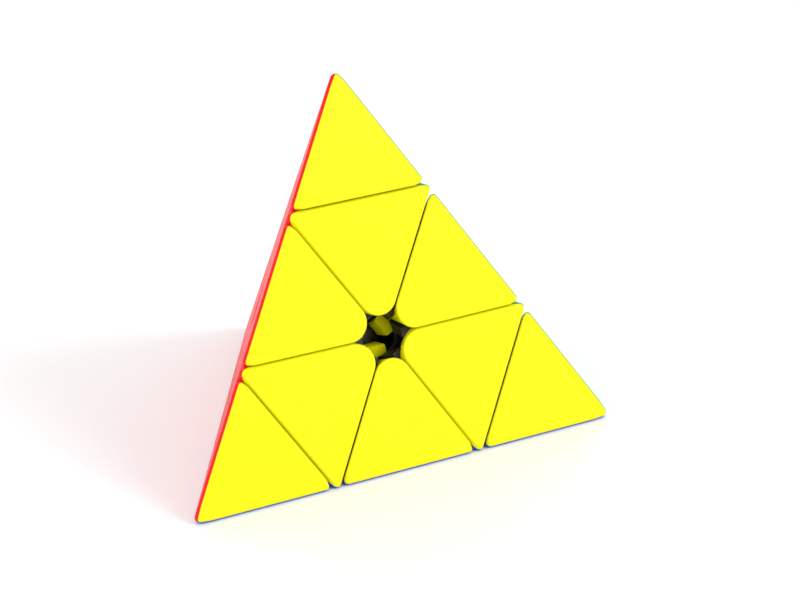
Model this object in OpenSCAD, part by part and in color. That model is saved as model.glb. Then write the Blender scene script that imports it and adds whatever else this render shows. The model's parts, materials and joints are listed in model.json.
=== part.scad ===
// Pyramid twisty puzzle: a regular tetrahedron that turns about its four corner axes.
// Four tips turn on four axle pieces, and six edge pieces ride between them on hidden feet.
// The puzzle stands on its blue face, with the yellow face to the front.
// The origin is the centre of the blue face, Z points up, and all lengths are millimetres.

/* [Pyramid] */
// Length of one sharp edge of the pyramid
edge_length = 98; // [94:0.5:102]
// Gap between neighbouring pieces
seam = 0.3; // [0.2:0.05:0.5]
// Depth of the flat that softens each long edge of the pyramid
ridge_flat = 0.6; // [0.2:0.1:1.5]
// Depth of the flat that blunts each of the four points
point_flat = 2.2; // [0.5:0.1:4]
// Radius of the small notch where three pieces meet on a long edge
notch_radius = 1.1; // [0.5:0.1:2]
// Radius of the six rounded corners that leave the star hole at each face's centre
corner_radius = 4.1; // [3:0.1:4.5]

/* [Shells] */
// Wall of the edge pieces
edge_wall = 1.7; // [1.2:0.1:2]
// Wall of the tips
tip_wall = 1.8; // [1.2:0.1:2.4]
// Wall of the axle pieces
axle_wall = 1.8; // [1.2:0.1:2.1]
// Thickness of the coloured caps on the axle pieces
cap_thickness = 2.2; // [2:0.1:3]
// How far the rib behind each cap reaches into its pocket
rib_depth = 1.2; // [0.5:0.1:1.4]
// Gap between that rib and the pocket
rib_gap = 0.1; // [0.05:0.05:0.3]

/* [Turning mechanism] */
// Radius of the sphere that parts the feet from the skirts of the axle pieces
track_radius = 14; // [13.5:0.1:14.5]
// Radius under the feet, where the core's ball begins
ball_track_radius = 10.35; // [10:0.05:11]
// Angle that each side of a foot leans from the middle of its edge piece
foot_angle = 13; // [9:0.5:13.5]
// Half-angle of the cone, about each corner axis, that a turning layer's feet stay inside
sweep_angle = 77.6; // [77:0.1:78.5]
// Radius of the stem under each axle piece
stem_radius = 5.3; // [4.5:0.1:5.4]
// Height of the stem's lower end above the core's centre
stem_start = 12.2; // [12:0.1:13]
// Thickness of the floor at the bottom of the spring well
floor_thickness = 3; // [2:0.1:4]
// Radius of the four arms of the core
arm_radius = 4; // [3:0.1:4.5]

/* [Screws and springs] */
// Radius of the screw's shank
shank_radius = 1.25; // [1:0.05:1.5]
// Radius of the screw's head
head_radius = 2.6; // [2:0.1:3.2]
// Height of the screw's head
head_height = 2.2; // [1.5:0.1:2.6]
// Height of the underside of the washer above the core's centre
washer_height = 24; // [22:0.1:24.2]
// Thickness of the washer
washer_thickness = 0.6; // [0.4:0.1:1]
// Radius of the spring's wire
wire_radius = 0.35; // [0.2:0.05:0.5]
// Radius of the spring's coil, to the middle of the wire
coil_radius = 2.5; // [2.2:0.1:2.8]
// Number of turns in the spring
coil_turns = 5; // [3:0.5:7]
// Clearance of a turning fit, on the radius
fit = 0.06; // [0.02:0.01:0.1]

/* [Tip clips] */
// Radius of the clip's plug
plug_radius = 4; // [3.7:0.1:4.2]
// Height of the plug's lower end above the core's centre
plug_start = 27.8; // [27.6:0.1:28.4]
// Height of the clip's snap ring above the core's centre
snap_height = 29; // [28.6:0.1:30]
// How far the snap ring stands out of the plug
snap_depth = 0.4; // [0.2:0.1:0.6]

/* [Hidden] */
$fn = 64;
HALF_GAP = seam / 2;
// Distance from the core's centre to each outer face
INRADIUS = edge_length / (2 * sqrt(6));
// Distance from the core's centre to each layer's cutting plane
UNIT = (INRADIUS + HALF_GAP) / 3;
// Distance from the middle of a tip or an edge piece to each of its faces
SMALL_CELL = UNIT - HALF_GAP;
// Distance from the middle of an axle piece to each of its faces
AXLE_CELL = 2 * UNIT - HALF_GAP;
// Distance from the core's centre to each long edge of the pyramid
RIDGE = sqrt(3) * INRADIUS;
// Distance from the core's centre to each point of the pyramid
POINT = 3 * INRADIUS;
// Angle from a corner axis to the middle of a face beside it
FACE_TILT = acos(1 / 3);
// Angle from an edge piece's middle axis to either of its corner axes
EDGE_TILT = acos(1 / sqrt(3));
// Side of the blocks that cut solids in two
BLOCK = 120;
FLOOR_TOP = stem_start + floor_thickness;
HEAD_BOTTOM = washer_height + washer_thickness;
SOCKET_BOTTOM = plug_start - seam;
WELL_RADIUS = 3.6;
SNAP_HEIGHT = 0.8;
// Height at which the cone that trims a foot's end begins
SWEEP_START = 1.5;

// The four corners are top, left, right and back, in this order.
TOP = 0;
LEFT = 1;
RIGHT = 2;
BACK = 3;
// Direction of each corner from the core's centre
AXES = [
    [0, 0, 1],
    [-sqrt(2 / 3), -sqrt(2) / 3, -1 / 3],
    [sqrt(2 / 3), -sqrt(2) / 3, -1 / 3],
    [0, sqrt(8) / 3, -1 / 3]
];
// Turn about a corner axis that faces each of its three sectors
SECTORS = [-90, 30, 150];

YELLOW = [0.98, 0.9, 0.05];
RED = [0.9, 0.08, 0.1];
GREEN = [0.05, 0.6, 0.2];
BLUE = [0.05, 0.25, 0.8];
BLACK = [0.08, 0.08, 0.09];
STEEL = [0.72, 0.73, 0.75];

// Which node to show

// Frames

function unit(v) = v / norm(v);

// Puts the +Z axis along a corner axis, with the core's centre as the frame's origin.
module at_corner(c)
    translate([0, 0, INRADIUS])
        rotate(a = c == TOP ? 0 : 180, v = AXES[TOP] + AXES[c])
            children();

// Puts the +Z axis through the middle of the long edge from corner a to corner b, and turns
// it so that the outer face opposite the corner named far is on the -Y side.
module at_edge(a, b, far) {
    z = unit(AXES[a] + AXES[b]);
    y = unit(AXES[far] - AXES[6 - a - b - far]);
    x = cross(y, z);
    multmatrix([
        [x[0], y[0], z[0], 0],
        [x[1], y[1], z[1], 0],
        [x[2], y[2], z[2], INRADIUS],
        [0, 0, 0, 1]
    ])
        children();
}

// Everything above a height along a tilted axis.
module above(height)
    translate([-BLOCK / 2, -BLOCK / 2, height])
        cube(BLOCK);

// Cells: the regular solids that a pyramid of three layers is cut into

// A tetrahedron with one point up, by the distance from its middle to each face.
module tip_cell(inradius)
    translate([0, 0, 6 * UNIT])
        polyhedron(
            points = concat(
                [[0, 0, 3 * inradius]],
                [for (i = [0:2]) [
                    sqrt(8) * inradius * cos(90 + 120 * i),
                    sqrt(8) * inradius * sin(90 + 120 * i),
                    -inradius
                ]]
            ),
            faces = [[1, 2, 3], [0, 2, 1], [0, 3, 2], [0, 1, 3]]
        );

// An octahedron that lies on one face, by the distance from its middle to each face.
module axle_cell(inradius)
    translate([0, 0, 3 * UNIT])
        polyhedron(
            points = concat(
                [for (i = [0:2]) [
                    sqrt(2) * inradius * cos(90 + 120 * i),
                    sqrt(2) * inradius * sin(90 + 120 * i),
                    inradius
                ]],
                [for (i = [0:2]) [
                    sqrt(2) * inradius * cos(150 + 120 * i),
                    sqrt(2) * inradius * sin(150 + 120 * i),
                    -inradius
                ]]
            ),
            faces = [
                [2, 1, 0], [3, 4, 5],
                [0, 1, 3], [1, 2, 4], [2, 0, 5],
                [1, 4, 3], [2, 5, 4], [0, 3, 5]
            ]
        );

// A tetrahedron with one edge up, by the distance from its middle to each face.
module edge_cell(inradius)
    translate([0, 0, 2 * sqrt(3) * UNIT])
        polyhedron(
            points = [
                [sqrt(6) * inradius, 0, sqrt(3) * inradius],
                [-sqrt(6) * inradius, 0, sqrt(3) * inradius],
                [0, sqrt(6) * inradius, -sqrt(3) * inradius],
                [0, -sqrt(6) * inradius, -sqrt(3) * inradius]
            ],
            faces = [[0, 1, 2], [0, 3, 1], [0, 2, 3], [1, 3, 2]]
        );

// Shared cutters

// The star-shaped hole at a face's centre, along +Z, left by six rounded corners.
module star_hole()
    translate([0, 0, track_radius - HALF_GAP / 2])
        linear_extrude(INRADIUS)
            difference() {
                circle(r = 1.62 * corner_radius);
                for (i = [0:5])
                    rotate(60 * i)
                        translate([2 * corner_radius, 0])
                            circle(r = corner_radius - 0.05);
            }

// A third of all space round the +Z axis, about the sector's direction.
module sector(s)
    rotate(SECTORS[s])
        linear_extrude(BLOCK)
            polygon([[0, 0], [BLOCK / 2, -BLOCK / 2 * sqrt(3)], [BLOCK / 2, BLOCK / 2 * sqrt(3)]]);

// The slab of a sector's outer face, from a depth below the face outwards.
module face_slab(s, depth)
    rotate([0, FACE_TILT, SECTORS[s]])
        above(INRADIUS - depth);

// The notches, round a corner axis, where a tip, an axle piece and an edge piece meet.
module notches()
    for (i = [0:2])
        rotate(90 + 120 * i)
            translate([(POINT - 5 * UNIT) / sqrt(2), 0, 5 * UNIT])
                sphere(r = notch_radius);

// Core, screws and springs

module core() {
    ball = ball_track_radius - HALF_GAP;
    difference() {
        union() {
            sphere(r = ball);
            for (c = [TOP:BACK])
                rotate(a = c == TOP ? 0 : 180, v = AXES[TOP] + AXES[c])
                    cylinder(h = stem_start - 0.1, r = arm_radius);
        }
        for (c = [TOP:BACK])
            rotate(a = c == TOP ? 0 : 180, v = AXES[TOP] + AXES[c])
                translate([0, 0, ball / 2])
                    cylinder(h = ball, r = shank_radius);
    }
}

module screw() {
    shank_start = (ball_track_radius - HALF_GAP) / 2;
    difference() {
        union() {
            translate([0, 0, shank_start])
                cylinder(h = HEAD_BOTTOM - shank_start, r = shank_radius);
            translate([0, 0, HEAD_BOTTOM])
                cylinder(h = head_height, r = head_radius);
        }
        // Cross recess
        for (turn = [0, 90])
            rotate(turn)
                translate([-1.6, -0.3, HEAD_BOTTOM + head_height - 1.2])
                    cube([3.2, 0.6, 2]);
    }
}

module washer()
    translate([0, 0, washer_height])
        difference() {
            cylinder(h = washer_thickness, r = WELL_RADIUS - 0.3);
            translate([0, 0, -1])
                cylinder(h = washer_thickness + 2, r = shank_radius + 0.1);
        }

// A coil of round wire, as rings of points joined along the helix.
module spring() {
    sides = 6;
    per_turn = 14;
    rings = per_turn * coil_turns;
    bottom = FLOOR_TOP + wire_radius + 0.1;
    rise = washer_height - wire_radius - 0.05 - bottom;
    points = [
        for (i = [0:rings], j = [0:sides - 1])
            let (
                turn = 360 * i / per_turn,
                reach = coil_radius + wire_radius * cos(360 * j / sides)
            )
            [
                reach * cos(turn),
                reach * sin(turn),
                bottom + rise * i / rings + wire_radius * sin(360 * j / sides)
            ]
    ];
    sides_faces = [
        for (i = [0:rings - 1], j = [0:sides - 1])
            let (
                a = i * sides + j,
                b = i * sides + (j + 1) % sides
            )
            each [[a, b, b + sides], [a, b + sides, a + sides]]
    ];
    first = [for (j = [0:sides - 1]) sides - 1 - j];
    last = [for (j = [0:sides - 1]) rings * sides + j];
    polyhedron(points = points, faces = concat([first], sides_faces, [last]));
}

// Axle pieces

// The sphere under an axle piece's skirt, or its outer side at the wall's thickness. It lies
// on its side, which keeps the ends of its seam line off the stem.
module skirt_sphere(thickness)
    rotate([90, 0, 0])
        sphere(r = track_radius + HALF_GAP + thickness);

// The black body: an octahedron with three pockets, on a stem that holds spring and screw.
module axle_body()
    difference() {
        union() {
            difference() {
                axle_cell(AXLE_CELL);
                skirt_sphere(0);
                difference() {
                    axle_cell(AXLE_CELL - axle_wall);
                    skirt_sphere(axle_wall);
                    cylinder(h = BLOCK, r = plug_radius + 1.7);
                }
            }
            translate([0, 0, stem_start])
                cylinder(h = track_radius + axle_wall - stem_start, r = stem_radius);
        }
        for (s = [0:2]) {
            face_slab(s, cap_thickness);
            // Round recess behind the star hole
            rotate([0, FACE_TILT, SECTORS[s]])
                translate([0, 0, track_radius / 2])
                    cylinder(h = INRADIUS, r = corner_radius + 0.4);
        }
        // Screw hole, spring well, tip socket and its snap groove
        translate([0, 0, stem_start - 1])
            cylinder(h = floor_thickness + 2, r = shank_radius + fit);
        translate([0, 0, FLOOR_TOP])
            cylinder(h = BLOCK, r = WELL_RADIUS);
        translate([0, 0, SOCKET_BOTTOM])
            cylinder(h = BLOCK, r = plug_radius + fit);
        translate([0, 0, snap_height - HALF_GAP])
            cylinder(h = SNAP_HEIGHT + seam, r = plug_radius + snap_depth + fit);
    }

// One coloured cap: a plate that closes a pocket, with a locating rib behind it.
module axle_cap(s)
    difference() {
        intersection() {
            union() {
                intersection() {
                    axle_cell(AXLE_CELL);
                    face_slab(s, cap_thickness);
                }
                intersection() {
                    axle_cell(AXLE_CELL - axle_wall - rib_gap);
                    face_slab(s, cap_thickness + rib_depth);
                }
            }
            sector(s);
        }
        rotate([0, FACE_TILT, SECTORS[s]])
            star_hole();
        notches();
    }

// Tips

// The black clip inside a tip: a plug with a snap ring, a flange and a post.
module tip_clip() {
    inside = 6 * UNIT - SMALL_CELL + tip_wall;
    translate([0, 0, plug_start])
        cylinder(h = inside - plug_start + 1, r = plug_radius);
    translate([0, 0, snap_height])
        cylinder(h = SNAP_HEIGHT, r = plug_radius + snap_depth);
    translate([0, 0, inside])
        cylinder(h = 1.6, r = plug_radius + 1.5);
    translate([0, 0, inside])
        cylinder(h = 12, r = 1.6);
}

// One coloured third of a tip's hollow shell.
module tip_shell(s)
    difference() {
        intersection() {
            tip_cell(SMALL_CELL);
            sector(s);
        }
        tip_cell(SMALL_CELL - tip_wall);
        cylinder(h = 6 * UNIT, r = plug_radius);
        above(POINT - point_flat);
        for (i = [0:2])
            rotate([0, EDGE_TILT, 90 + 120 * i])
                above(RIDGE - ridge_flat);
        notches();
    }

// Edge pieces

// The foot that keeps an edge piece in the puzzle, between the core's ball and the skirts.
// Its sides lean out from the core's centre, so it clears both of its layers' sweeps, and
// its -Y end is cut by the cone that the layer beyond it sweeps.
module foot() {
    low = 5;
    difference() {
        intersection() {
            sphere(r = track_radius - HALF_GAP);
            rotate([90, 0, 0])
                linear_extrude(BLOCK, center = true)
                    polygon([
                        [-low * tan(foot_angle), low],
                        [low * tan(foot_angle), low],
                        [track_radius * tan(foot_angle), track_radius],
                        [-track_radius * tan(foot_angle), track_radius]
                    ]);
        }
        sphere(r = ball_track_radius + HALF_GAP);
        rotate([180 - EDGE_TILT, 0, 0])
            translate([0, 0, SWEEP_START])
                cylinder(
                    h = track_radius - SWEEP_START,
                    r1 = SWEEP_START * tan(sweep_angle),
                    r2 = track_radius * tan(sweep_angle)
                );
    }
}

// Half of an edge piece, on the -Y side: one coloured face with half of the foot.
module edge_half()
    difference() {
        union() {
            difference() {
                edge_cell(SMALL_CELL);
                edge_cell(SMALL_CELL - edge_wall);
            }
            foot();
        }
        translate([-BLOCK / 2, 0, -BLOCK / 2])
            cube(BLOCK);
        above(RIDGE - ridge_flat);
        rotate([EDGE_TILT, 0, 0])
            rotate(30)
                star_hole();
        for (side = [-1, 1])
            translate([side * (5 * UNIT - INRADIUS) / sqrt(2 / 3), 0, RIDGE])
                sphere(r = notch_radius);
    }

// Sub-parts: the core

module core_spider() color(BLACK) translate([0, 0, INRADIUS]) core();

module axle_screw_top() color(STEEL) at_corner(TOP) screw();
module axle_screw_left() color(STEEL) at_corner(LEFT) screw();
module axle_screw_right() color(STEEL) at_corner(RIGHT) screw();
module axle_screw_back() color(STEEL) at_corner(BACK) screw();

module spring_washer_top() color(STEEL) at_corner(TOP) washer();
module spring_washer_left() color(STEEL) at_corner(LEFT) washer();
module spring_washer_right() color(STEEL) at_corner(RIGHT) washer();
module spring_washer_back() color(STEEL) at_corner(BACK) washer();

module tension_spring_top() color(STEEL) at_corner(TOP) spring();
module tension_spring_left() color(STEEL) at_corner(LEFT) spring();
module tension_spring_right() color(STEEL) at_corner(RIGHT) spring();
module tension_spring_back() color(STEEL) at_corner(BACK) spring();

// Sub-parts: the axle pieces

module axle_body_top() color(BLACK) at_corner(TOP) axle_body();
module axle_body_left() color(BLACK) at_corner(LEFT) axle_body();
module axle_body_right() color(BLACK) at_corner(RIGHT) axle_body();
module axle_body_back() color(BLACK) at_corner(BACK) axle_body();

module axle_cap_top_yellow() color(YELLOW) at_corner(TOP) axle_cap(0);
module axle_cap_top_green() color(GREEN) at_corner(TOP) axle_cap(1);
module axle_cap_top_red() color(RED) at_corner(TOP) axle_cap(2);
module axle_cap_left_red() color(RED) at_corner(LEFT) axle_cap(0);
module axle_cap_left_blue() color(BLUE) at_corner(LEFT) axle_cap(1);
module axle_cap_left_yellow() color(YELLOW) at_corner(LEFT) axle_cap(2);
module axle_cap_right_green() color(GREEN) at_corner(RIGHT) axle_cap(0);
module axle_cap_right_yellow() color(YELLOW) at_corner(RIGHT) axle_cap(1);
module axle_cap_right_blue() color(BLUE) at_corner(RIGHT) axle_cap(2);
module axle_cap_back_blue() color(BLUE) at_corner(BACK) axle_cap(0);
module axle_cap_back_red() color(RED) at_corner(BACK) axle_cap(1);
module axle_cap_back_green() color(GREEN) at_corner(BACK) axle_cap(2);

// Sub-parts: the tips

module tip_clip_top() color(BLACK) at_corner(TOP) tip_clip();
module tip_clip_left() color(BLACK) at_corner(LEFT) tip_clip();
module tip_clip_right() color(BLACK) at_corner(RIGHT) tip_clip();
module tip_clip_back() color(BLACK) at_corner(BACK) tip_clip();

module tip_shell_top_yellow() color(YELLOW) at_corner(TOP) tip_shell(0);
module tip_shell_top_green() color(GREEN) at_corner(TOP) tip_shell(1);
module tip_shell_top_red() color(RED) at_corner(TOP) tip_shell(2);
module tip_shell_left_red() color(RED) at_corner(LEFT) tip_shell(0);
module tip_shell_left_blue() color(BLUE) at_corner(LEFT) tip_shell(1);
module tip_shell_left_yellow() color(YELLOW) at_corner(LEFT) tip_shell(2);
module tip_shell_right_green() color(GREEN) at_corner(RIGHT) tip_shell(0);
module tip_shell_right_yellow() color(YELLOW) at_corner(RIGHT) tip_shell(1);
module tip_shell_right_blue() color(BLUE) at_corner(RIGHT) tip_shell(2);
module tip_shell_back_blue() color(BLUE) at_corner(BACK) tip_shell(0);
module tip_shell_back_red() color(RED) at_corner(BACK) tip_shell(1);
module tip_shell_back_green() color(GREEN) at_corner(BACK) tip_shell(2);

// Sub-parts: the edge pieces

module edge_top_left_yellow() color(YELLOW) at_edge(TOP, LEFT, BACK) edge_half();
module edge_top_left_red() color(RED) at_edge(TOP, LEFT, RIGHT) edge_half();
module edge_top_right_yellow() color(YELLOW) at_edge(TOP, RIGHT, BACK) edge_half();
module edge_top_right_green() color(GREEN) at_edge(TOP, RIGHT, LEFT) edge_half();
module edge_top_back_red() color(RED) at_edge(TOP, BACK, RIGHT) edge_half();
module edge_top_back_green() color(GREEN) at_edge(TOP, BACK, LEFT) edge_half();
module edge_left_right_yellow() color(YELLOW) at_edge(LEFT, RIGHT, BACK) edge_half();
module edge_left_right_blue() color(BLUE) at_edge(LEFT, RIGHT, TOP) edge_half();
module edge_left_back_red() color(RED) at_edge(LEFT, BACK, RIGHT) edge_half();
module edge_left_back_blue() color(BLUE) at_edge(LEFT, BACK, TOP) edge_half();
module edge_right_back_green() color(GREEN) at_edge(RIGHT, BACK, LEFT) edge_half();
module edge_right_back_blue() color(BLUE) at_edge(RIGHT, BACK, TOP) edge_half();

core_spider();
axle_screw_top();
axle_screw_left();
axle_screw_right();
axle_screw_back();
spring_washer_top();
spring_washer_left();
spring_washer_right();
spring_washer_back();
tension_spring_top();
tension_spring_left();
tension_spring_right();
tension_spring_back();
axle_body_top();
axle_body_left();
axle_body_right();
axle_body_back();
axle_cap_top_yellow();
axle_cap_top_green();
axle_cap_top_red();
axle_cap_left_yellow();
axle_cap_left_red();
axle_cap_left_blue();
axle_cap_right_yellow();
axle_cap_right_green();
axle_cap_right_blue();
axle_cap_back_red();
axle_cap_back_green();
axle_cap_back_blue();
tip_clip_top();
tip_clip_left();
tip_clip_right();
tip_clip_back();
tip_shell_top_yellow();
tip_shell_top_green();
tip_shell_top_red();
tip_shell_left_yellow();
tip_shell_left_red();
tip_shell_left_blue();
tip_shell_right_yellow();
tip_shell_right_green();
tip_shell_right_blue();
tip_shell_back_red();
tip_shell_back_green();
tip_shell_back_blue();
edge_top_left_yellow();
edge_top_left_red();
edge_top_right_yellow();
edge_top_right_green();
edge_top_back_red();
edge_top_back_green();
edge_left_right_yellow();
edge_left_right_blue();
edge_left_back_red();
edge_left_back_blue();
edge_right_back_green();
edge_right_back_blue();
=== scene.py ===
"""Looks of the pyramid twisty puzzle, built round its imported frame.

The coloured shells are rebuilt with rounded edges, rounded star-hole corners and moulded feet.
The black bodies, the core, the screws and the springs keep their CAD shapes.
"""

import itertools
import json
import math

import bmesh
import bpy
from mathutils import Matrix, Vector


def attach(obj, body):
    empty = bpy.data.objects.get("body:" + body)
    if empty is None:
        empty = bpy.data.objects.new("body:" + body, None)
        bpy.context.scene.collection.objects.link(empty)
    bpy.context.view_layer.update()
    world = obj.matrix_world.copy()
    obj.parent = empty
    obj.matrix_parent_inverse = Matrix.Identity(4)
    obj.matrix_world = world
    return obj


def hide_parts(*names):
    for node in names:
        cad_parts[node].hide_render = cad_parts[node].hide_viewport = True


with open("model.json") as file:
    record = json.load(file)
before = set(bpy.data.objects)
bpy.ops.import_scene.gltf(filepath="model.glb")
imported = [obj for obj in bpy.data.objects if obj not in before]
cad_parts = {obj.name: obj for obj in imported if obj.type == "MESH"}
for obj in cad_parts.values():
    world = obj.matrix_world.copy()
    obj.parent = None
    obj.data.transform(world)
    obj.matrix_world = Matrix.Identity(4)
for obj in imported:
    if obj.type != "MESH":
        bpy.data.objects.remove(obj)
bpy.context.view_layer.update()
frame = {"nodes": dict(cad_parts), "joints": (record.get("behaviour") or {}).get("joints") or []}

MM = 0.001
CORNERS = ("top", "left", "right", "back")
# The colour of the face opposite each corner
FAR_COLOUR = {"top": "blue", "left": "green", "right": "red", "back": "yellow"}
EDGES = list(itertools.combinations(CORNERS, 2))

JOINTS = {joint["name"]: joint for joint in frame["joints"]}
CENTRE = Vector(JOINTS["layer_top_turn"]["pos_m"])
AXIS = {c: Vector(JOINTS[f"layer_{c}_turn"]["axis"]).normalized() for c in CORNERS}

# The same cells as in the CAD: the core's centre is CENTRE.z from every face
HALF_GAP = 0.15 * MM
INRADIUS = CENTRE.z
UNIT = (INRADIUS + HALF_GAP) / 3
# The moulded shells stand a little further apart than their cells
SHELL_GAP = HALF_GAP + 0.035 * MM
FACE_TILT = math.acos(1 / 3)

# Moulded radii: the points, the long edges, the rims along the seams, and the star hole's corners
POINT_ROUND = 1.15 * MM
RIDGE_ROUND = 0.9 * MM
SEAM_ROUND = 0.4 * MM
STAR_ROUND = 4.1 * MM
# Distance from a tip's point, and from a seam's end, over which one radius blends into the next
POINT_REACH = 5 * MM
SEAM_REACH = 1.2 * MM
# Thickness of an axle piece's cap
CAP_DEPTH = 2.2 * MM
# Depth and setback of the lower rim of a cap's corner at the star hole
CAP_FOOT = (3.2 * MM, 1.3 * MM)
# Half the hairline between two colours of one piece
PARTING = 0.02 * MM
# How far each other colour reaches round the yellow faces' ridges, past the middle
YELLOW_LOSS = {"red": 0.25 * MM, "green": 0.22 * MM, "blue": 0.1 * MM}

# Wall of the hollow tips, and radius of the hole in each tip's base for its clip
TIP_WALL = 1.8 * MM
CLIP_HOLE = 4.05 * MM

# The feet run between these two radii, and lean this far to each side
TRACK_RADIUS = 14 * MM
BALL_RADIUS = 10.35 * MM
FOOT_ANGLE = math.radians(13)
# Where half a foot starts and ends, measured from the middle of its edge piece
FOOT_START = math.radians(0.1)
FOOT_END = math.radians(45.6)
# The last part of that, over which the foot narrows to this share of its width
FOOT_CORNER = math.radians(1.4)
FOOT_TIP_WIDTH = 0.78
# Softening of a foot's rims, and how far its inner and outer faces draw in for it
FOOT_SOFT = 0.3 * MM
FOOT_SHRINK = 0.02
# Steps along and across half a foot, and how strongly they gather at its end
FOOT_LENGTHS = 30
FOOT_WIDTHS = 10
FOOT_GATHER = 1.6
# The step along half a foot that its softened faces draw in towards
FOOT_MIDDLE = FOOT_LENGTHS / 2.2
# Where an edge piece's lower edge ends, from the middle
LOWER_EDGE = 8.2 * MM

# Fineness of the balls at the points, the long edges and the seams, and of the arcs
POINT_LEVEL = 4
RIDGE_LEVEL = 3
SEAM_LEVEL = 2
ARC_STEPS = 8
STAR_STEPS = 14
HOLE_SEGMENTS = 72
# Points closer than the first become one, and cuts snap to points within the second
MERGE = 0.002 * MM
SNAP = 0.0005 * MM
# A point's own direction shades a face if it is at least this long, and this close to the
# face's normal, as a cosine
CLEAR_WAY = 0.5
SAME_WAY = 0.8


# Rounded convex solids, as the hull of balls that touch their planes


def plane_meet(planes, inset):
    """The point where three planes, each moved inwards by inset, meet."""
    rows = Matrix([normal for normal, _ in planes[:3]])
    return rows.inverted() @ Vector([distance - inset for _, distance in planes[:3]])


def arc_between(a, b, steps):
    """Unit directions from a to b."""
    turn = a.rotation_difference(b)
    return [Matrix.Rotation(turn.angle * i / steps, 3, turn.axis) @ a for i in range(steps + 1)]


def ball_directions(normals, level):
    """Directions that sample a ball evenly, and finely between the planes that it touches."""
    mesh = bmesh.new()
    bmesh.ops.create_icosphere(mesh, subdivisions=level, radius=1)
    found = [v.co.normalized() for v in mesh.verts]
    mesh.free()
    for i, a in enumerate(normals):
        for b in normals[i + 1 :]:
            found += arc_between(a, b, ARC_STEPS)
    return found


def hull_of_balls(balls):
    """A bmesh of the convex hull of (centre, radius, normals, level) balls. The layer named
    way holds each point's own outward direction, for smooth shading."""
    mesh = bmesh.new()
    way = mesh.verts.layers.float_vector.new("way")
    seen = set()
    for centre, radius, normals, level in balls:
        for direction in ball_directions(normals, level):
            point = centre + direction * radius
            key = tuple(round(x / MERGE) for x in point)
            if key in seen:
                continue
            seen.add(key)
            vert = mesh.verts.new(point)
            vert[way] = direction
    result = bmesh.ops.convex_hull(mesh, input=mesh.verts[:], use_existing_faces=False)
    spare = result["geom_interior"] + result["geom_unused"]
    loose = {item for item in spare if isinstance(item, bmesh.types.BMVert)}
    bmesh.ops.delete(mesh, geom=list(loose), context="VERTS")
    return mesh


def keep_side(mesh, point, normal):
    """Cuts a closed convex bmesh by a plane, keeps the side that the normal points away from,
    and closes the cut."""
    geom = mesh.verts[:] + mesh.edges[:] + mesh.faces[:]
    cut = bmesh.ops.bisect_plane(
        mesh, geom=geom, dist=SNAP, plane_co=point, plane_no=normal, clear_outer=True
    )
    rim = [item for item in cut["geom_cut"] if isinstance(item, bmesh.types.BMEdge)]
    bmesh.ops.holes_fill(mesh, edges=rim, sides=0)


def mesh_of(name, mesh):
    """A mesh with the bmesh's own directions as its normals, and flat faces kept flat."""
    mesh.normal_update()
    way = mesh.verts.layers.float_vector["way"]
    data = bpy.data.meshes.new(name)
    for face in mesh.faces:
        face.smooth = True
    normals = []
    for face in mesh.faces:
        for vert in face.verts:
            own = Vector(vert[way])
            keep = own.length > CLEAR_WAY and own.normalized().dot(face.normal) > SAME_WAY
            normals.append(own.normalized() if keep else face.normal.copy())
    mesh.verts.layers.float_vector.remove(way)
    mesh.to_mesh(data)
    mesh.free()
    data.normals_split_custom_set(normals)
    return data


def seam_balls(a, b, planes):
    """Small balls that narrow a seam's rounding a short way in from its two ends."""
    inwards = (b - a).normalized() * SEAM_REACH
    normals = [normal for normal, _ in planes]
    return [(place, SEAM_ROUND, normals, SEAM_LEVEL) for place in (a + inwards, b - inwards)]


def on_seam(planes, towards, inset):
    """The point nearest to towards, along a seam, that lies inset inside its two planes."""
    (n1, d1), (n2, d2) = planes
    along = n1.cross(n2).normalized()
    rows = Matrix([n1, n2, along])
    return rows.inverted() @ Vector([d1 - inset, d2 - inset, along.dot(towards)])


def star_balls(outer, first, second, corner, rows):
    """Balls along the rounded star-hole corner between two cut planes. Each row is a depth
    below the outer face and a setback from the hole. corner is the sharp corner's place."""
    normal = outer[0]
    sides = [(cut - normal * cut.dot(normal)).normalized() for cut, _ in (first, second)]
    middle = (sides[0] + sides[1]).normalized()
    # The face's corner is 60 degrees wide
    hub = corner - middle * (STAR_ROUND / math.sin(math.radians(30)))
    hub -= normal * (normal.dot(hub) - outer[1] + SEAM_ROUND)
    found = []
    for depth, setback in rows:
        for i, out in enumerate(arc_between(sides[0], sides[1], STAR_STEPS)):
            cut = first[0] if i * 2 <= STAR_STEPS else second[0]
            place = hub + out * (STAR_ROUND - SEAM_ROUND - setback) - normal * depth
            normals = [normal, out, cut] if depth == 0 else [out]
            found.append((place, SEAM_ROUND, normals, SEAM_LEVEL))
    return found


# Canonical shapes. Each is drawn round the core's centre, with +Z along its corner axis or
# through the middle of its long edge.

UP = Vector((0, 0, 1))
# Directions of the three faces beside a corner, and their outward normals
SECTORS = [math.radians(degrees) for degrees in (-90, 30, 150)]
SIDES = [
    Vector((math.sin(FACE_TILT) * math.cos(a), math.sin(FACE_TILT) * math.sin(a), 1 / 3))
    for a in SECTORS
]


def parting(colour, other):
    """How far a coloured shell reaches past the middle of its joint with another colour."""
    if colour == "yellow":
        return -YELLOW_LOSS[other] - PARTING
    if other == "yellow":
        return YELLOW_LOSS[colour] - PARTING
    return -PARTING


def sector_cuts(index, colours):
    """The two planes, as (point, normal), that bound one colour of a tip or an axle piece."""
    cuts = []
    for side in (-1, 1):
        edge = SECTORS[index] + side * math.radians(60)
        normal = Vector((-math.sin(edge), math.cos(edge), 0)) * side
        reach = parting(colours[index], colours[(index + side) % 3])
        cuts.append((normal * reach, normal))
    return cuts


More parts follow.
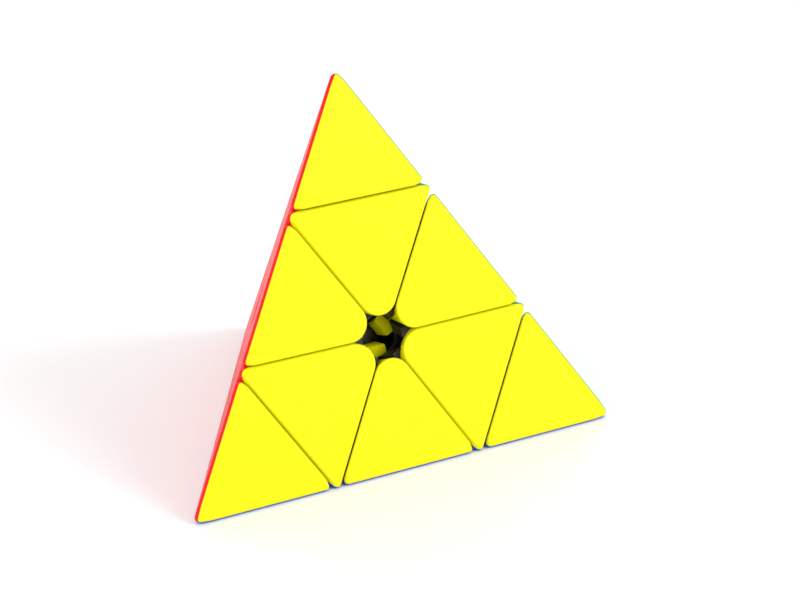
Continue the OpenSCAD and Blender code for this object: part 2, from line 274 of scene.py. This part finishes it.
def tip_balls():
    """The balls of a whole tip, with a rounded point, rounded ridges and softer seams."""
    faces = [(n, INRADIUS) for n in SIDES]
    base = (-UP, -(5 * UNIT + SHELL_GAP))
    balls = [(plane_meet(faces, POINT_ROUND), POINT_ROUND, [n for n, _ in faces], POINT_LEVEL)]
    point = plane_meet(faces, 0)
    for i in range(3):
        pair = [faces[i], faces[(i + 1) % 3]]
        foot = plane_meet(pair + [base], RIDGE_ROUND)
        normals = [pair[0][0], pair[1][0], base[0]]
        balls.append((foot, RIDGE_ROUND, normals, RIDGE_LEVEL))
        below = point + (foot - point).normalized() * POINT_REACH
        near = on_seam(pair, below, RIDGE_ROUND)
        balls.append((near, RIDGE_ROUND, normals[:2], RIDGE_LEVEL))
    for i in range(3):
        seam = [faces[i], base]
        ends = [
            plane_meet([faces[i], faces[(i + k) % 3], base], RIDGE_ROUND) for k in (1, 2)
        ]
        a, b = (on_seam(seam, end, SEAM_ROUND) for end in ends)
        balls += seam_balls(a, b, seam)
    return balls


def tip_hollow():
    """The space inside a whole tip, with sharp corners."""
    faces = [(n, INRADIUS - TIP_WALL) for n in SIDES]
    base = (-UP, -(5 * UNIT + HALF_GAP + TIP_WALL))
    mesh = bmesh.new()
    mesh.verts.new(plane_meet(faces, 0))
    for i in range(3):
        mesh.verts.new(plane_meet([faces[i], faces[(i + 1) % 3], base], 0))
    bmesh.ops.convex_hull(mesh, input=mesh.verts[:])
    return mesh


def clip_hole():
    """The round hole through a tip's base."""
    mesh = bmesh.new()
    middle = 5 * UNIT + HALF_GAP + TIP_WALL / 2
    bmesh.ops.create_cone(
        mesh,
        cap_ends=True,
        segments=HOLE_SEGMENTS,
        radius1=CLIP_HOLE,
        radius2=CLIP_HOLE,
        depth=2 * TIP_WALL + 2 * MM,
        matrix=Matrix.Translation((0, 0, middle)),
    )
    return mesh


def plain(name, mesh):
    """A bmesh as a linked object, for cutting with."""
    data = bpy.data.meshes.new(name)
    mesh.to_mesh(data)
    mesh.free()
    item = bpy.data.objects.new(name, data)
    bpy.context.scene.collection.objects.link(item)
    return item


def less(mesh, cutters):
    """A bmesh with cutter bmeshes taken away from it."""
    body = plain("cut body", mesh)
    tools = [plain("cutter", cutter) for cutter in cutters]
    for tool in tools:
        step = body.modifiers.new("cut", "BOOLEAN")
        step.operation = "DIFFERENCE"
        step.solver = "EXACT"
        step.object = tool
    bpy.context.view_layer.update()
    result = body.evaluated_get(bpy.context.evaluated_depsgraph_get())
    out = bmesh.new()
    out.from_mesh(result.to_mesh())
    result.to_mesh_clear()
    for item in [body] + tools:
        data = item.data
        bpy.data.objects.remove(item)
        bpy.data.meshes.remove(data)
    return out


def tip_third(index, colours):
    """One coloured third of a tip's hollow shell."""
    mesh = hull_of_balls(tip_balls())
    for point, normal in sector_cuts(index, colours):
        keep_side(mesh, point, normal)
    return less(mesh, [tip_hollow(), clip_hole()])


def axle_balls():
    """The balls of a whole axle piece: an octahedron with rounded seams and star-hole corners."""
    outer = [(n, INRADIUS) for n in SIDES]
    cuts = [(-n, UNIT - SHELL_GAP) for n in SIDES]
    top = (UP, 5 * UNIT - SHELL_GAP)
    balls = []
    for i in range(3):
        j = (i + 1) % 3
        k = (i + 2) % 3
        # The upper corner on the ridge between faces i and j
        ridge = plane_meet([outer[i], outer[j], top], RIDGE_ROUND)
        normals = [outer[i][0], outer[j][0], top[0], cuts[k][0]]
        balls.append((ridge, RIDGE_ROUND, normals, RIDGE_LEVEL))
        # The lower corner, at the middle of face k
        corner = plane_meet([outer[k], cuts[i], cuts[j]], 0)
        balls += star_balls(outer[k], cuts[i], cuts[j], corner, ((0, 0), CAP_FOOT))
    for i in range(3):
        j = (i + 1) % 3
        k = (i + 2) % 3
        ends = [
            plane_meet([outer[i], outer[j], top], RIDGE_ROUND),
            plane_meet([outer[i], outer[k], top], RIDGE_ROUND),
        ]
        seam = [outer[i], top]
        a, b = (on_seam(seam, end, SEAM_ROUND) for end in ends)
        balls += seam_balls(a, b, seam)
        # The seams down to the star hole: face i meets cuts j and k
        for cut, end in ((cuts[k], ends[0]), (cuts[j], ends[1])):
            seam = [outer[i], cut]
            start = on_seam(seam, end, SEAM_ROUND)
            corner = plane_meet([outer[i], cuts[j], cuts[k]], 0)
            along = (corner - start).normalized()
            place = on_seam(seam, start + along * SEAM_REACH, SEAM_ROUND)
            balls.append((place, SEAM_ROUND, [outer[i][0], cut[0]], SEAM_LEVEL))
    # A ball at the bottom, which the caps don't reach
    middle = Vector((0, 0, UNIT + HALF_GAP + 2 * MM))
    balls.append((middle, 1 * MM, [-UP], SEAM_LEVEL))
    return balls


def axle_cap(index, colours):
    """One coloured cap of an axle piece."""
    mesh = hull_of_balls(axle_balls())
    normal = SIDES[index]
    keep_side(mesh, normal * (INRADIUS - CAP_DEPTH), -normal)
    for point, cut in sector_cuts(index, colours):
        keep_side(mesh, point, cut)
    return mesh


def edge_planes():
    """Outward planes of an edge piece: two cuts, then the -Y and +Y faces."""
    cuts = [
        (Vector((-side * math.sqrt(2 / 3), 0, -1 / math.sqrt(3))), -(UNIT + SHELL_GAP))
        for side in (1, -1)
    ]
    faces = [
        (Vector((0, side * math.sqrt(2 / 3), 1 / math.sqrt(3))), INRADIUS) for side in (-1, 1)
    ]
    return cuts, faces


def edge_balls():
    """The balls of a whole edge piece, but for its foot."""
    cuts, faces = edge_planes()
    balls = []
    for cut in cuts:
        end = plane_meet(faces + [cut], RIDGE_ROUND)
        normals = [faces[0][0], faces[1][0], cut[0]]
        balls.append((end, RIDGE_ROUND, normals, RIDGE_LEVEL))
        for face in faces:
            corner = plane_meet([face] + cuts, 0)
            start = on_seam([face, cut], end, SEAM_ROUND)
            along = (corner - start).normalized()
            place = on_seam([face, cut], start + along * SEAM_REACH, SEAM_ROUND)
            balls.append((place, SEAM_ROUND, [face[0], cut[0]], SEAM_LEVEL))
    for face in faces:
        corner = plane_meet([face] + cuts, 0)
        balls += star_balls(face, cuts[0], cuts[1], corner, ((0, 0),))
    for y in (-LOWER_EDGE, LOWER_EDGE):
        place = on_seam(cuts, Vector((0, y, 0)), SEAM_ROUND)
        balls.append((place, SEAM_ROUND, [cuts[0][0], cuts[1][0]], SEAM_LEVEL))
    return balls


def foot_direction(i, j):
    """The direction, from the core's centre, of a point i steps along and j steps across a foot."""
    gathered = 1 - (1 - i / FOOT_LENGTHS) ** FOOT_GATHER
    swing = FOOT_START + (FOOT_END - FOOT_START) * gathered
    into_corner = max(0.0, (swing - FOOT_END) / FOOT_CORNER + 1)
    rounding = math.sqrt(max(0.0, 1 - into_corner**2))
    width = FOOT_TIP_WIDTH + (1 - FOOT_TIP_WIDTH) * rounding
    lean = math.tan(FOOT_ANGLE) * width * (2 * j / FOOT_WIDTHS - 1)
    return Vector((lean * math.cos(swing), -math.sin(swing), math.cos(swing))).normalized()


def foot_layer(mesh, radius, shrink):
    """A grid of points at one radius, drawn in towards its middle by a share."""
    middle = foot_direction(FOOT_MIDDLE, FOOT_WIDTHS / 2)
    grid = []
    for i in range(FOOT_LENGTHS + 1):
        row = []
        for j in range(FOOT_WIDTHS + 1):
            direction = foot_direction(i, j)
            if shrink:
                direction = (direction + (middle - direction) * shrink).normalized()
            row.append(mesh.verts.new(direction * radius))
        grid.append(row)
    return grid


def foot_rim(grid):
    """The points round a grid's rim, in order."""
    ring = [grid[i][0] for i in range(FOOT_LENGTHS + 1)]
    ring += [grid[FOOT_LENGTHS][j] for j in range(1, FOOT_WIDTHS + 1)]
    ring += [grid[i][FOOT_WIDTHS] for i in range(FOOT_LENGTHS - 1, -1, -1)]
    ring += [grid[0][j] for j in range(FOOT_WIDTHS - 1, 0, -1)]
    return ring


def foot_mesh():
    """Half of a foot: a curved plate between the ball and the skirts, with softened rims."""
    mesh = bmesh.new()
    low = BALL_RADIUS + HALF_GAP
    high = TRACK_RADIUS - HALF_GAP
    layers = [
        foot_layer(mesh, low, FOOT_SHRINK),
        foot_layer(mesh, low + FOOT_SOFT, 0),
        foot_layer(mesh, high - FOOT_SOFT, 0),
        foot_layer(mesh, high, FOOT_SHRINK),
    ]
    low_grid, high_grid = layers[0], layers[-1]
    for i in range(FOOT_LENGTHS):
        near, far = high_grid[i], high_grid[i + 1]
        below, beyond = low_grid[i], low_grid[i + 1]
        for j in range(FOOT_WIDTHS):
            mesh.faces.new((near[j], far[j], far[j + 1], near[j + 1]))
            mesh.faces.new((below[j], below[j + 1], beyond[j + 1], beyond[j]))
    rims = [foot_rim(grid) for grid in layers]
    for lower, upper in zip(rims, rims[1:]):
        for k in range(len(lower)):
            m = (k + 1) % len(lower)
            mesh.faces.new((lower[k], lower[m], upper[m], upper[k]))
    inner = [v for grid in layers[1:3] for row in grid[1:-1] for v in row[1:-1]]
    bmesh.ops.delete(mesh, geom=inner, context="VERTS")
    bmesh.ops.recalc_face_normals(mesh, faces=mesh.faces[:])
    mesh.normal_update()
    way = mesh.verts.layers.float_vector.new("way")
    for vert in mesh.verts:
        vert[way] = vert.normal
    return mesh


# Placing


def at_corner(corner):
    """The matrix that puts +Z along a corner axis, as the CAD does."""
    if corner == "top":
        return Matrix.Translation(CENTRE)
    half = (AXIS["top"] + AXIS[corner]).normalized()
    return Matrix.Translation(CENTRE) @ Matrix.Rotation(math.pi, 4, half)


def at_edge(a, b, far):
    """The matrix that puts +Z through a long edge, with the face opposite far on the -Y side."""
    last = next(c for c in CORNERS if c not in (a, b, far))
    z = (AXIS[a] + AXIS[b]).normalized()
    y = (AXIS[far] - AXIS[last]).normalized()
    x = y.cross(z)
    turn = Matrix((x, y, z)).transposed().to_4x4()
    return Matrix.Translation(CENTRE) @ turn


def placed(mesh, place):
    """A copy of a bmesh, with its directions, moved to its place."""
    moved = mesh.copy()
    way = moved.verts.layers.float_vector["way"]
    turn = place.to_3x3()
    for vert in moved.verts:
        vert.co = place @ vert.co
        vert[way] = turn @ Vector(vert[way])
    return moved


def add(name, mesh, place, colour, body, node):
    """One shell piece, riding on its body in place of its CAD node."""
    piece = bpy.data.objects.new(name, mesh_of(name, placed(mesh, place)))
    bpy.context.scene.collection.objects.link(piece)
    piece.data.materials.append(SHELL[colour])
    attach(piece, body)
    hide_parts(node)
    return piece


# Materials


# Spreads the pieces' shifts, so that no two show the same stretch of a pattern
PLACE_SPREAD = 37.0


def node_tree(name):
    """A new material, its node tree and its shader."""
    material = bpy.data.materials.new(name)
    material.use_nodes = True
    tree = material.node_tree
    return material, tree, tree.nodes["Principled BSDF"]


def own_place(tree, scale):
    """The piece's own coordinates, shifted by a number that differs from piece to piece."""
    coordinates = tree.nodes.new("ShaderNodeTexCoord")
    info = tree.nodes.new("ShaderNodeObjectInfo")
    spread = tree.nodes.new("ShaderNodeMath")
    spread.operation = "MULTIPLY"
    spread.inputs[1].default_value = PLACE_SPREAD
    tree.links.new(info.outputs["Random"], spread.inputs[0])
    shift = tree.nodes.new("ShaderNodeVectorMath")
    shift.operation = "ADD"
    tree.links.new(coordinates.outputs["Object"], shift.inputs[0])
    tree.links.new(spread.outputs[0], shift.inputs[1])
    mapping = tree.nodes.new("ShaderNodeMapping")
    mapping.inputs["Scale"].default_value = scale
    tree.links.new(shift.outputs[0], mapping.inputs["Vector"])
    return mapping.outputs["Vector"]


def noise_of(tree, place, scale, detail=3.0, rough=0.5):
    """A noise pattern, as a value from 0 to 1."""
    noise = tree.nodes.new("ShaderNodeTexNoise")
    noise.inputs["Scale"].default_value = scale
    noise.inputs["Detail"].default_value = detail
    noise.inputs["Roughness"].default_value = rough
    tree.links.new(place, noise.inputs["Vector"])
    return noise.outputs["Fac"]


def spread_to(tree, value, low, high):
    """The middle stretch of a noise value, spread from low to high."""
    reach = tree.nodes.new("ShaderNodeMapRange")
    reach.inputs["From Min"].default_value = 0.3
    reach.inputs["From Max"].default_value = 0.7
    reach.inputs["To Min"].default_value = low
    reach.inputs["To Max"].default_value = high
    tree.links.new(value, reach.inputs["Value"])
    return reach.outputs["Result"]


def bump_of(tree, height, distance, strength, under=None):
    """Bumps from a height value, on top of the normals under them."""
    bump = tree.nodes.new("ShaderNodeBump")
    bump.inputs["Distance"].default_value = distance
    bump.inputs["Strength"].default_value = strength
    tree.links.new(height, bump.inputs["Height"])
    if under:
        tree.links.new(under, bump.inputs["Normal"])
    return bump.outputs["Normal"]


def tint(tree, shader, first, second, amount):
    """Mixes two colours by a value, into the shader's base colour."""
    mix = tree.nodes.new("ShaderNodeMix")
    mix.data_type = "RGBA"
    mix.inputs["A"].default_value = (*first, 1)
    mix.inputs["B"].default_value = (*second, 1)
    tree.links.new(amount, mix.inputs["Factor"])
    tree.links.new(mix.outputs["Result"], shader.inputs["Base Color"])


def shell_plastic(name, colour, deep):
    """Self-coloured moulded plastic: satin, with faint flow marks and fine handling marks."""
    material, tree, shader = node_tree(name)
    place = own_place(tree, (1, 1, 1))
    flow = own_place(tree, (1, 1, 0.18))
    cloudy = noise_of(tree, place, 45, 3)
    tint(tree, shader, colour, deep, spread_to(tree, cloudy, 0.0, 0.35))
    marks = noise_of(tree, flow, 900, 4, 0.6)
    tree.links.new(spread_to(tree, marks, 0.34, 0.46), shader.inputs["Roughness"])
    grain = noise_of(tree, place, 2600, 2)
    waves = noise_of(tree, place, 90, 2)
    first = bump_of(tree, waves, 0.0002, 0.12)
    tree.links.new(bump_of(tree, grain, 0.00002, 0.25, first), shader.inputs["Normal"])
    shader.inputs["IOR"].default_value = 1.5
    shader.inputs["Specular IOR Level"].default_value = 0.2
    return material


def dark_plastic(name, colour, low, high):
    """Black moulded plastic with fine grain and slightly greasy patches."""
    material, tree, shader = node_tree(name)
    place = own_place(tree, (1, 1, 1))
    cloudy = noise_of(tree, place, 120, 3)
    lighter = [part * 1.7 for part in colour]
    tint(tree, shader, colour, lighter, spread_to(tree, cloudy, 0.0, 0.6))
    patches = noise_of(tree, place, 260, 4, 0.6)
    tree.links.new(spread_to(tree, patches, low, high), shader.inputs["Roughness"])
    grain = noise_of(tree, place, 3000, 2)
    tree.links.new(bump_of(tree, grain, 0.00004, 0.4), shader.inputs["Normal"])
    return material


def bright_steel(name, colour, low, high, stretch):
    """Plated or drawn steel with fine marks along one way."""
    material, tree, shader = node_tree(name)
    place = own_place(tree, stretch)
    marks = noise_of(tree, place, 1500, 4, 0.6)
    shader.inputs["Metallic"].default_value = 1
    darker = [part * 0.7 for part in colour]
    tint(tree, shader, colour, darker, spread_to(tree, marks, 0.0, 0.7))
    tree.links.new(spread_to(tree, marks, low, high), shader.inputs["Roughness"])
    tree.links.new(bump_of(tree, marks, 0.00003, 0.4), shader.inputs["Normal"])
    return material


SHELL = {
    "yellow": shell_plastic("yellow shell", (0.8, 0.76, 0.002), (0.78, 0.73, 0.002)),
    "red": shell_plastic("red shell", (0.84, 0.007, 0.015), (0.76, 0.006, 0.012)),
    "green": shell_plastic("green shell", (0.002, 0.33, 0.05), (0.002, 0.29, 0.045)),
    "blue": shell_plastic("blue shell", (0.001, 0.11, 0.56), (0.001, 0.095, 0.5)),
}
BODY_BLACK = dark_plastic("black body", (0.006, 0.006, 0.006), 0.42, 0.58)
CORE_BLACK = dark_plastic("black core", (0.007, 0.007, 0.008), 0.25, 0.42)
SCREW_STEEL = bright_steel("plated steel", (0.68, 0.69, 0.71), 0.2, 0.35, (1, 1, 0.2))
SPRING_STEEL = bright_steel("spring wire", (0.6, 0.61, 0.64), 0.15, 0.3, (1, 1, 1))


def dress(prefix, material):
    """Gives every CAD node whose name starts so its material."""
    for name, node in frame["nodes"].items():
        if name.startswith(prefix):
            node.data.materials.clear()
            node.data.materials.append(material)


# Pieces


def shells():
    """The coloured thirds of the four tips, and the coloured caps of the four axle pieces."""
    for corner in CORNERS:
        place = at_corner(corner)
        turn = place.to_3x3()
        colours = [
            FAR_COLOUR[min(CORNERS, key=lambda c: AXIS[c].dot(turn @ side))] for side in SIDES
        ]
        for i, colour in enumerate(colours):
            end = f"{corner}_{colour}"
            third = tip_third(i, colours)
            add(f"tip_third_{end}", third, place, colour, f"tip_{corner}", f"tip_shell_{end}")
            cap = axle_cap(i, colours)
            add(f"axle_face_{end}", cap, place, colour, f"axle_{corner}", f"axle_cap_{end}")


def merged(*parts):
    """Several bmeshes as one."""
    whole = bmesh.new()
    for part in parts:
        data = bpy.data.meshes.new("part")
        part.to_mesh(data)
        part.free()
        whole.from_mesh(data)
        bpy.data.meshes.remove(data)
    return whole


def edge_half(colour, other):
    """The -Y half of an edge piece with its half of the foot."""
    half = hull_of_balls(edge_balls())
    keep_side(half, Vector((0, parting(colour, other), 0)), Vector((0, 1, 0)))
    return merged(half, foot_mesh())


def edges():
    """The coloured halves of the six edge pieces."""
    for a, b in EDGES:
        pair = [c for c in CORNERS if c not in (a, b)]
        for far, last in (pair, pair[::-1]):
            colour = FAR_COLOUR[far]
            half = edge_half(colour, FAR_COLOUR[last])
            place = at_edge(a, b, far)
            end = f"{a}_{b}_{colour}"
            add(f"edge_half_{end}", half, place, colour, f"edge_{a}_{b}", f"edge_{end}")


# Studio


FLOOR_SIZE = 6
FLOOR_DROP = 0.05 * MM
FLOOR_TONE = 0.88
WORLD_STRENGTH = 0.78
LIGHT_TARGET = (0, 0, 0.035)
# Name, place and size in metres, and power in watts
LIGHTS = (
    ("key", (0.55, -0.65, 0.6), (0.4, 0.35), 5.2),
    ("fill", (-0.75, -0.3, 0.5), (0.5, 0.5), 2.2),
    ("rim", (0.1, 0.7, 0.6), (0.5, 0.4), 1.8),
)


def area_light(name, place, size, power):
    """A soft rectangular light that points at the puzzle."""
    data = bpy.data.lights.new(name, "AREA")
    data.shape = "RECTANGLE"
    data.size, data.size_y = size
    data.energy = power
    light = bpy.data.objects.new(name, data)
    light.location = place
    aim = Vector(LIGHT_TARGET) - Vector(place)
    light.rotation_euler = aim.to_track_quat("-Z", "Y").to_euler()
    bpy.context.scene.collection.objects.link(light)


def studio():
    """A pale floor under an even white surround, with three soft lights."""
    bpy.ops.mesh.primitive_plane_add(size=FLOOR_SIZE, location=(0, 0, -FLOOR_DROP))
    floor = bpy.context.object
    floor.name = "floor"
    material, _, shader = node_tree("floor")
    shader.inputs["Base Color"].default_value = (FLOOR_TONE, FLOOR_TONE, FLOOR_TONE, 1)
    shader.inputs["Roughness"].default_value = 0.6
    floor.data.materials.append(material)
    world = bpy.data.worlds.new("studio")
    bpy.context.scene.world = world
    world.use_nodes = True
    back = world.node_tree.nodes["Background"]
    back.inputs["Color"].default_value = (1, 1, 1, 1)
    back.inputs["Strength"].default_value = WORLD_STRENGTH
    for light in LIGHTS:
        area_light(*light)
    settings = bpy.context.scene.view_settings
    settings.view_transform = "Standard"
    settings.look = "None"


# Camera: the photograph's viewing direction, distance and slight roll, with the puzzle larger

CAMERA_AZIMUTH = math.radians(-24.6)
CAMERA_ELEVATION = math.radians(24.2)
CAMERA_ROLL = math.radians(-2.75)
CAMERA_DISTANCE = 0.52
# The place that the camera looks at, from the core's centre, across and up the picture
AIM = (11.1 * MM, 7.1 * MM)
# Millimetres
FOCAL_LENGTH = 110.5
SENSOR_WIDTH = 36


def camera():
    """The camera, turned to AIM and rolled about its own axis."""
    level = math.cos(CAMERA_ELEVATION)
    away = Vector(
        (
            math.sin(CAMERA_AZIMUTH) * level,
            -math.cos(CAMERA_AZIMUTH) * level,
            math.sin(CAMERA_ELEVATION),
        )
    )
    place = CENTRE + away * CAMERA_DISTANCE
    right = (-away).cross(UP).normalized()
    up = right.cross(-away)
    roll_right = right * math.cos(CAMERA_ROLL) + up * math.sin(CAMERA_ROLL)
    roll_up = up * math.cos(CAMERA_ROLL) - right * math.sin(CAMERA_ROLL)
    back = (place - (CENTRE + roll_right * AIM[0] + roll_up * AIM[1])).normalized()
    side = roll_up.cross(back).normalized()
    turn = Matrix((side, back.cross(side), back)).transposed().to_4x4()
    data = bpy.data.cameras.new("camera")
    data.lens = FOCAL_LENGTH
    data.sensor_width = SENSOR_WIDTH
    data.clip_start = 10 * MM
    item = bpy.data.objects.new("camera", data)
    item.matrix_world = Matrix.Translation(place) @ turn
    bpy.context.scene.collection.objects.link(item)
    bpy.context.scene.camera = item


shells()
edges()
dress("core_spider", CORE_BLACK)
dress("tip_clip", CORE_BLACK)
dress("axle_body", BODY_BLACK)
dress("axle_screw", SCREW_STEEL)
dress("spring_washer", SCREW_STEEL)
dress("tension_spring", SPRING_STEEL)
studio()
camera()
